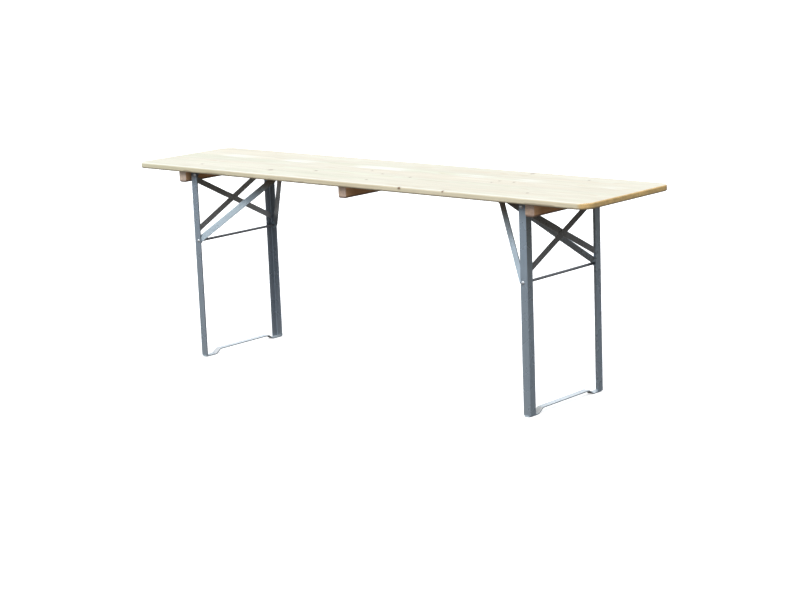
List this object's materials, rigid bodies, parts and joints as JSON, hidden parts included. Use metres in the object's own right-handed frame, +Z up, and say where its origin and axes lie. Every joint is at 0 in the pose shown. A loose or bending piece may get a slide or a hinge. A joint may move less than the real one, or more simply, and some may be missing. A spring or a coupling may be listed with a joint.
{
  "type": "folding trestle table",
  "caption": "Long narrow folding table: glued board top with rounded corners on battens, and angle-steel leg frames with crossed braces and V struts that fold flat under the top.",
  "frame": {"origin": "on the floor below the middle of the top", "axes": "+X along the length, +Y to the back, +Z up"},
  "size_m": [2.2, 0.5, 0.765],
  "materials": {
    "spruce": "satin clear lacquer",
    "batten_wood": "satin clear lacquer",
    "grey_paint": "satin powder coat",
    "zinc_steel": "zinc plated",
    "bright_steel": "plain"
  },
  "bodies": {
    "top": {"batten_left": "batten_wood", "batten_middle": "batten_wood", "batten_right": "batten_wood", "batten_screws": "bright_steel", "bracket_screws": "bright_steel", "catch_screws": "bright_steel", "left_catch_bracket": "zinc_steel", "left_catch_pin": "bright_steel", "left_guide_rail": "zinc_steel", "left_hinge_bracket_back": "grey_paint", "left_hinge_bracket_front": "grey_paint", "left_hinge_rivets": "bright_steel", "left_rail_stop": "zinc_steel", "rail_screws": "bright_steel", "right_catch_bracket": "zinc_steel", "right_catch_pin": "bright_steel", "right_guide_rail": "zinc_steel", "right_hinge_bracket_back": "grey_paint", "right_hinge_bracket_front": "grey_paint", "right_hinge_rivets": "bright_steel", "right_rail_stop": "zinc_steel", "top_board_1": "spruce", "top_board_2": "spruce", "top_board_3": "spruce", "top_board_4": "spruce", "top_board_5": "spruce"},
    "left_leg_frame": {"left_leg_front": "grey_paint", "left_leg_back": "grey_paint", "left_cross_brace_flat": "grey_paint", "left_cross_brace_stepped": "grey_paint", "left_spacer_rod": "grey_paint", "left_foot_bar": "grey_paint"},
    "left_strut": {"left_strut_arm_front": "grey_paint", "left_strut_arm_back": "grey_paint", "left_strut_pin": "bright_steel"},
    "left_catch": {"left_catch_lever": "zinc_steel"},
    "right_leg_frame": {"right_leg_front": "grey_paint", "right_leg_back": "grey_paint", "right_cross_brace_flat": "grey_paint", "right_cross_brace_stepped": "grey_paint", "right_spacer_rod": "grey_paint", "right_foot_bar": "grey_paint"},
    "right_strut": {"right_strut_arm_front": "grey_paint", "right_strut_arm_back": "grey_paint", "right_strut_pin": "bright_steel"},
    "right_catch": {"right_catch_lever": "zinc_steel"}
  },
  "joints": [
    {"name": "right_leg_fold", "type": "hinge", "parent": "top", "child": "right_leg_frame", "pos_m": [0.804, 0, 0.7285], "axis": [0, 1, 0], "range_deg": [0, 90]},
    {"name": "right_strut_turn", "type": "hinge", "parent": "right_leg_frame", "child": "right_strut", "pos_m": [0.804, 0, 0.468], "axis": [0, 1, 0], "range_deg": [-136.83, 0]},
    {"name": "right_catch_release", "type": "hinge", "parent": "top", "child": "right_catch", "pos_m": [0.5945, 0, 0.728], "axis": [0, -1, 0], "range_deg": [0, 9]},
    {"name": "left_leg_fold", "type": "hinge", "parent": "top", "child": "left_leg_frame", "pos_m": [-0.804, 0, 0.7285], "axis": [0, -1, 0], "range_deg": [0, 90]},
    {"name": "left_strut_turn", "type": "hinge", "parent": "left_leg_frame", "child": "left_strut", "pos_m": [-0.804, 0, 0.468], "axis": [0, -1, 0], "range_deg": [-136.83, 0]},
    {"name": "left_catch_release", "type": "hinge", "parent": "top", "child": "left_catch", "pos_m": [-0.5945, 0, 0.728], "axis": [0, 1, 0], "range_deg": [0, 9]}
  ],
  "couplings": [
    {"joint": "right_strut_turn", "follows": "right_leg_fold", "ratio": -1.5202},
    {"joint": "left_strut_turn", "follows": "left_leg_fold", "ratio": -1.5202}
  ]
}
